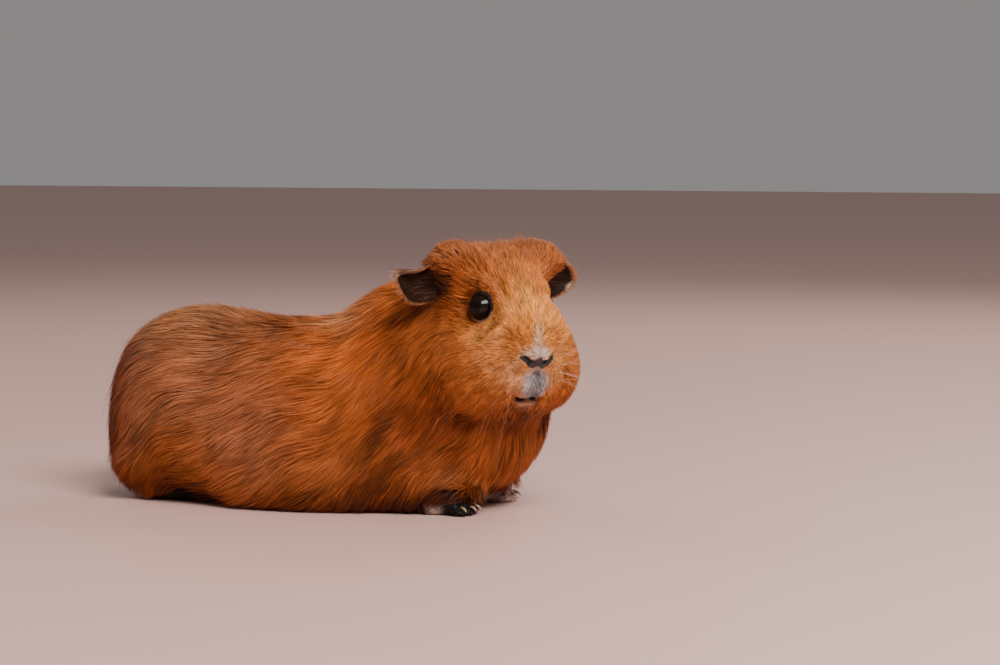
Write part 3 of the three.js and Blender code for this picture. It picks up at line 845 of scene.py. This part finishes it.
def coat_piece(name, paths, widths, colours, normals, unwrap, root_shade):
    """One joined mesh of blades. Their colours run from darker roots, painted shade deep in the coat, to
    the tips.
    """
    count, steps = len(paths), paths.shape[1] - 1
    row = 2 * steps + 1
    corners = blades(paths, widths, normals)
    quads = [(2 * k, 2 * k + 1, 2 * k + 3, 2 * k + 2) for k in range(steps - 1)]
    tips = (2 * steps - 2, 2 * steps - 1, 2 * steps)
    one = np.array([i for quad in quads for i in quad] + list(tips))
    loops = (np.arange(count)[:, None] * row + one).ravel()
    sizes = np.tile([4] * (steps - 1) + [3], count)
    mesh = bpy.data.meshes.new(name)
    mesh.vertices.add(count * row)
    mesh.vertices.foreach_set("co", (corners / 1000).astype(np.float32).ravel())
    mesh.loops.add(len(loops))
    mesh.loops.foreach_set("vertex_index", loops.astype(np.int32))
    mesh.polygons.add(len(sizes))
    mesh.polygons.foreach_set("loop_start", np.r_[0, np.cumsum(sizes)[:-1]].astype(np.int32))
    mesh.polygons.foreach_set("use_smooth", np.ones(len(sizes), bool))
    mesh.update(calc_edges=True)
    t = np.repeat(np.linspace(0, 1, steps + 1), 2)[:-1]
    # Painted shade: each blade darkens towards its root, where the coat shades it.
    shade = root_shade + (1.05 - root_shade) * smooth(0, 0.7, t)
    colour_mesh(mesh, (colours[:, None, :] * shade[None, :, None]).reshape(-1, 3))
    across = np.r_[np.tile([-0.5, 0.5], steps), 0]
    place = unwrap[:, None, :] + patch * np.stack([across, t - 0.5], 1)[None]
    layer = mesh.uv_layers.new(name="OFBake")
    layer.data.foreach_set("uv", place.reshape(-1, 2)[loops].astype(np.float32).ravel())
    triangles = count * (2 * steps - 1)
    print(name, count, triangles)
    assert triangles < 200000
    placed(name, mesh, coat_material)
    return triangles


skin_tris = np.array([face.vertices[:] for face in skin_mesh.polygons])
skin_corners = points[skin_tris]
tri_edges = skin_corners[:, 1:] - skin_corners[:, :1]
tri_area = np.linalg.norm(np.cross(tri_edges[:, 0], tri_edges[:, 1]), axis=1) / 2
tri_middle = skin_corners.mean(1)


def hairs_per_mm2(places):
    q = in_head(places)
    head = head_share(places)
    face = head * smooth(-6, 8, q[:, 0])
    dense = 2.7 + 1.1 * smooth(-20, 50, places[:, 0])
    dense = dense + head * (5 - dense)
    dense = dense + face * (9.5 - dense)
    dense = dense + head * 10 * smooth(13, 9, np.linalg.norm(q - (21, -1, -26), axis=1))
    dense = dense + foot_share(places) * (3.5 - dense)
    under = smooth(12, 5, places[:, 2]) * (1 - foot_share(places)) * (1 - head)
    return dense * (1 - 0.85 * under)


def bare(places):
    """Where no hair grows: eyes, nose leather, the mouth's edge, the ends of the toes and the soles."""
    q = in_head(places)
    head = head_share(places)
    gone = np.zeros(len(places))
    for side in (1, -1):
        _, along, out = eye_parts(q, side)
        gone = np.maximum(gone, head * smooth(6.3, 6.0, out) * (along > 0))
        own = at_muzzle(q) * (1, side, 1)
        gone = np.maximum(gone, head * smooth(0.9, 0.5, rod(own, *nostril, 0.7, 1.2)))
        gone = np.maximum(gone, head * smooth(0.7, 0.4, rod(own, *nose_leather, 1.1)))
        gone = np.maximum(gone, head * smooth(0.8, 0.5, rod(own, *mouth, 1.1, 0.9)))
    gone = np.maximum(gone, 0.8 * head * in_ear_hollow(q))
    return np.maximum(gone, smooth(0.9, 0.5, places[:, 2]))


weight = tri_area * hairs_per_mm2(tri_middle) * (1 - bare(tri_middle))
count = chance.poisson(weight)
owner = np.repeat(np.arange(len(count)), count)
a, b = chance.uniform(size=(2, len(owner)))
flip = a + b > 1
a, b = np.where(flip, 1 - a, a), np.where(flip, 1 - b, b)
first, second, third = skin_corners[owner].transpose(1, 0, 2)
roots = first + a[:, None] * (second - first) + b[:, None] * (third - first)
q = in_head(roots)
head = head_share(roots)
feet_here = foot_share(roots)
from_nose = np.linalg.norm(q - nose_tip, axis=1)
lengths = 21 + 5 * smooth(-60, -90, roots[:, 0])
lengths += smooth(20, 60, roots[:, 0]) * (17 - lengths)
lengths += head * (np.minimum(1.0 + 0.16 * from_nose, 9) - lengths)
lengths += feet_here * (2.6 + 4 * smooth(4.5, 7, roots[:, 2]) - lengths)
on_crown = head * smooth(4, 12, q[:, 2])
lengths *= (1 - 0.25 * on_crown) * chance.uniform(0.6, 1.12, len(roots))
clearance = 2.5 * smooth(38, 46, roots[:, 0]) + 6.5 * smooth(-48, -58, roots[:, 0])
clearance += 8 * smooth(34, 42, roots[:, 0]) * smooth(2, 8, roots[:, 1])
above = np.maximum(roots[:, 2] - clearance, 0)
lengths = np.where((head < 0.5) & (feet_here < 0.5), np.minimum(lengths, 3 + 1.5 * above), lengths)
m = at_muzzle(q)
to_mouth = np.minimum(rod(m, *mouth, 1.3, 1.1), rod(m * (1, -1, 1), *mouth, 1.3, 1.1))
over_lip = (head > 0.5) & (to_mouth < 4) & (q[:, 2] > -33.4)
lengths = np.minimum(lengths, np.where(over_lip, 0.15 + 0.75 * to_mouth.clip(0), 99))
for side in (1, -1):
    _, along, out = eye_parts(q, side)
    before_eye = (head > 0.5) & (along > -1) & (out < 14) & (q[:, 0] > 1.6) & (np.abs(q[:, 2]) < 9)
    lengths = np.minimum(lengths, np.where(before_eye, 0.4 + 0.65 * np.maximum(out - 6.4, 0), 99))
widths = 0.31 + head * (0.25 - 0.31)
widths += head * smooth(-6, 8, q[:, 0]) * (0.18 - widths)
widths += head * smooth(12, 7, from_nose) * (0.13 - widths)
widths += feet_here * (0.22 - widths)
widths *= chance.uniform(0.75, 1.25, len(roots))
heights = 0.2 + np.maximum(-sampled(outline, roots), 0.2) * chance.uniform(0.72, 1.18, len(roots))
heights *= 1 + 0.12 * on_crown
stray = chance.uniform(size=len(roots)) < 0.02 + 0.06 * on_crown + 0.02 * smooth(-60, -80, roots[:, 0])
heights += head * smooth(16, 9, from_nose) * chance.uniform(0, 0.7, len(roots))
raised = chance.uniform(1.2, 1.9, len(roots)) + on_crown * chance.uniform(0, 0.7, len(roots))
heights *= np.where(stray, raised, 1)
widths *= np.where(stray, 0.5, 1)
hollow = head * in_ear_hollow(q)
heights += hollow * (np.minimum(heights, 0.8) - heights)
lengths += hollow * (np.minimum(lengths, 3.5) - lengths)
for side in (1, -1):
    _, along, out = eye_parts(q, side)
    by_eye = np.minimum(heights, 0.3 + 0.22 * (out - 6.2).clip(0))
    heights = np.where((head > 0.5) & (along > 0), by_eye, heights)
scatter = 2.5 + head * (np.minimum(0.5 + 0.05 * from_nose, 2) - 2.5)
scatter += feet_here * (0.4 - scatter)
hair_colour = markings_and_painted_shade(roots + chance.normal(0, 1, roots.shape) * scatter[:, None])

# The coat is parted into regions, so that each piece of it stays small. A region holds its name, its hairs,
# the steps in each hair, whether it is on the head, and how many hairs make a lock and how tightly.
body_cuts = [-120, -70, -35, 0, 35, 60, 120]
regions = []
for side, word in ((1, "left"), (-1, "right")):
    here = np.sign(roots[:, 1]) == side
    here_head = (head > 0.5) & (np.sign(q[:, 1]) == side)
    regions.append(("face_" + word, here_head & (q[:, 0] > 2), 3, True, (7, 0.28)))
    regions.append(("crown_" + word, here_head & (q[:, 0] <= 2), 4, True, (6, 0.5)))
    feet_own = (feet_here > 0.5) & (head <= 0.5) & here
    regions.append(("foot_hair_" + word, feet_own, 3, False, (8, 0.3)))
    body = (head <= 0.5) & (feet_here <= 0.5) & here
    for i, (low, high) in enumerate(zip(body_cuts, body_cuts[1:])):
        part = body & (roots[:, 0] >= low) & (roots[:, 0] < high)
        regions.append((f"coat_{word}_{i + 1}", part, 5, False, (12, 0.33)))

total = 0
for name, chosen, steps, on_head, (every, pull) in regions:
    chosen = np.flatnonzero(chosen)
    stagger = (0.38 if name.startswith("crown") else 0.22) if on_head else 0.11
    paths = laid(roots[chosen], lengths[chosen], heights[chosen], steps, stagger)
    paths, mine = clumped(paths, every, pull)
    paths, big = clumped(paths, 9 * every, 0.4 * pull)
    lock_tone = chance.normal(0, 0.16 if on_head else 0.23, (2, len(chosen)))
    tone = 1 + lock_tone[0, mine] + 0.85 * lock_tone[1, big] + chance.normal(0, 0.15, len(chosen))
    shade = hair_colour[chosen] * np.clip(tone, 0.45, 1.6)[:, None]
    unwrap = unwrapped(roots[chosen], on_head)
    normals = outward(paths[:, steps // 2])
    root_shade = 0.62 if name.startswith("face") else 0.40
    total += coat_piece(name, paths, widths[chosen], np.clip(shade, 0, 0.95), normals, unwrap, root_shade)


# The ears' own hair: short and ginger on the backs, a sparse fringe on the rims, and a few long strands
# that lie across the hollow.
for side, word in ((1, "left"), (-1, "right")):
    back, fringe, inside = 1500, 500, 300
    kinds = (back, fringe, inside)
    u = chance.uniform(0.03, 0.97, sum(kinds))
    v_ranges = ((0.05, 0.95), (0.9, 0.99), (0.0, 0.5))
    v = np.concatenate([chance.uniform(*ends, size) for ends, size in zip(v_ranges, kinds)])
    reach_ranges = ((0.12, 0.26), (0.06, 0.17), (0.2, 0.5))
    reach = np.concatenate([chance.uniform(*ends, size) for ends, size in zip(reach_ranges, kinds)])
    front = np.r_[np.ones(back), chance.uniform(-1, 1, fringe), -np.ones(inside)]
    sweep = chance.normal(0.02, 0.035, len(u))
    paths = []
    for t in np.linspace(0, 1, 4):
        here_u, here_v = np.clip(u + sweep * t, 0.01, 0.99), v + reach * t
        middle, across = ear_face(side, here_u, here_v)
        across = -side * across
        paths.append(middle + across * (front * (ear_thick / 2 + 0.35 * t))[:, None])
    shade = np.tile([0.30, 0.085, 0.018], (len(u), 1))
    shade[back:] = [0.34, 0.13, 0.05]
    shade[back + fringe :] = [0.06, 0.018, 0.006]
    lined = ear_pale(side, u, v)[:, None] * (np.arange(len(u)) >= back)[:, None]
    shade = shade + lined * (np.array([0.34, 0.21, 0.14]) - shade)
    shade *= chance.uniform(0.6, 1.3, (len(u), 1))
    paths = np.stack(paths, 1)
    unwrap = np.stack([u, v], 1) * 0.9 + 0.05
    total += coat_piece("ear_hair_" + word, paths, np.full(len(u), 0.2), shade, across, unwrap, 0.6)
print("coat", total)

# ================================================================ the whiskers
# Long, stiff, pale hairs in rows on both whisker pads. Each is a thin tapering tube rooted in the skin. The
# left ones stand out, and the right ones lie back along the cheek; both curve. Directions are in the
# head's frame.
whisker_sides = 5
whisker_way = {"left": (0.45, 1.0, 0.45), "right": (0.1, 0.62, -0.35)}
whisker_bend = {"left": (-0.35, 0, -0.25), "right": (-0.4, -0.25, -0.35)}
for side, word in ((1, "left"), (-1, "right")):
    corners, faces, colours = [], [], []
    for number in range(22):
        line, place = number % 4, number // 4
        root = np.array([20.5 - 1.9 * place, 8.2 + 1.2 * place, -19.5 - 2.6 * line])
        root[1] += 0.7 * math.sin(1.6 * line)
        start_way = np.array(whisker_way[word]) + (-0.16 * place, 0, -0.22 * line)
        start_way += chance.normal(0, 0.14, 3)
        start_way /= np.linalg.norm(start_way)
        reach = chance.uniform(18, 34)
        bend = np.array(whisker_bend[word]) + chance.normal(0, 0.08, 3)
        here = from_head(root * (1, side, 1))
        for _ in range(3):
            lie = sampled(skin_lie, here[None])[0]
            here = here - lie[1:] * lie[0]
        start = len(corners)
        rings = 10
        for r in range(rings + 1):
            t = r / rings
            own = start_way * reach * t + bend * reach * t * t
            middle = here + (own * (1, side, 1)) @ head_axes
            middle = np.clip(middle, (-110, -48, 1), (110, 48, 109))
            thick = 0.055 * (1 - 0.7 * t)
            for s in range(whisker_sides):
                angle = 2 * math.pi * s / whisker_sides
                around = np.array([math.cos(angle) * 0.5, math.sin(angle) * 0.5, math.cos(angle)])
                corners.append(middle + thick * around)
                # The far (left) whiskers are painted darker than the near ones, as painted shade on the far
                # side of the head.
                colours.append((0.60, 0.44, 0.32) if word == "left" else (0.88, 0.66, 0.46))
        for r in range(rings):
            for s in range(whisker_sides):
                a, b = start + r * whisker_sides + s, start + r * whisker_sides + (s + 1) % whisker_sides
                faces.append((a, b, b + whisker_sides, a + whisker_sides))
    whisker_mesh = bpy.data.meshes.new("whiskers_" + word)
    whisker_mesh.from_pydata((np.array(corners) / 1000).tolist(), [], faces)
    colour_mesh(whisker_mesh, np.array(colours))
    corner_of = np.array(faces).ravel()
    hair_of = corner_of // ((rings + 1) * whisker_sides)
    ring_of = corner_of // whisker_sides % (rings + 1)
    across_patch = patch * (corner_of % whisker_sides) / whisker_sides
    place = np.stack([0.02 + 0.04 * hair_of + across_patch, 0.5 + patch * ring_of / rings], 1)
    layer = whisker_mesh.uv_layers.new(name="OFBake")
    layer.data.foreach_set("uv", place.astype(np.float32).ravel())
    placed("whiskers_" + word, whisker_mesh, surface("whisker_" + word, 0.4, mottle=0.05))

# ================================================================ floor, light and camera
# A pale floor and soft light: one large lamp high before the head, and weak ones beyond the rump and the
# far side. The camera looks at the animal's right side from a little in front.
floor_mesh = bpy.data.meshes.new("floor")
floor_mesh.from_pydata([(-6, -6, 0), (6, -6, 0), (6, 6, 0), (-6, 6, 0)], [], [(0, 1, 2, 3)])
floor = bpy.data.objects.new("floor", floor_mesh)
bpy.context.scene.collection.objects.link(floor)
floor_material = bpy.data.materials.new("floor")
floor_material.use_nodes = True
floor_shader = floor_material.node_tree.nodes["Principled BSDF"]
floor_shader.inputs["Base Color"].default_value = (0.61, 0.37, 0.32, 1)
floor_shader.inputs["Roughness"].default_value = 0.55
floor_mesh.materials.append(floor_material)

for name, place, aim, size, power, colour in (
    ("window", (0.75, -0.6, 0.95), (0, 0, 0.05), 0.8, 27.0, (1.0, 0.97, 0.94)),
    ("left", (-1.2, 0.3, 0.9), (0, 0, 0.06), 0.9, 4.0, (0.97, 0.98, 1.0)),
    ("back", (0.2, 1.1, 0.8), (0, 0, 0.06), 0.7, 6.0, (1.0, 0.96, 0.9)),
):
    lamp = bpy.data.lights.new(name, "AREA")
    lamp.shape = "RECTANGLE"
    lamp.size = size
    lamp.size_y = size * 0.7
    lamp.energy = power
    lamp.color = colour
    light = bpy.data.objects.new(name, lamp)
    light.location = place
    toward = np.array(aim) - place
    light.rotation_euler = (
        math.acos(-toward[2] / np.linalg.norm(toward)),
        0,
        math.atan2(toward[1], toward[0]) - math.pi / 2,
    )
    bpy.context.scene.collection.objects.link(light)

world = bpy.data.worlds.new("studio")
bpy.context.scene.world = world
world.use_nodes = True
world.node_tree.nodes["Background"].inputs["Color"].default_value = (0.70, 0.67, 0.66, 1)
world.node_tree.nodes["Background"].inputs["Strength"].default_value = 0.38

camera_data = bpy.data.cameras.new("camera")
camera_data.sensor_width = 36
camera_data.lens = 91.8
camera_data.clip_start = 0.01
camera = bpy.data.objects.new("camera", camera_data)
camera.location = (0.4583, -0.9173, 0.145)
camera.rotation_euler = (math.radians(85.68), 0, math.radians(23))
bpy.context.scene.collection.objects.link(camera)
bpy.context.scene.camera = camera
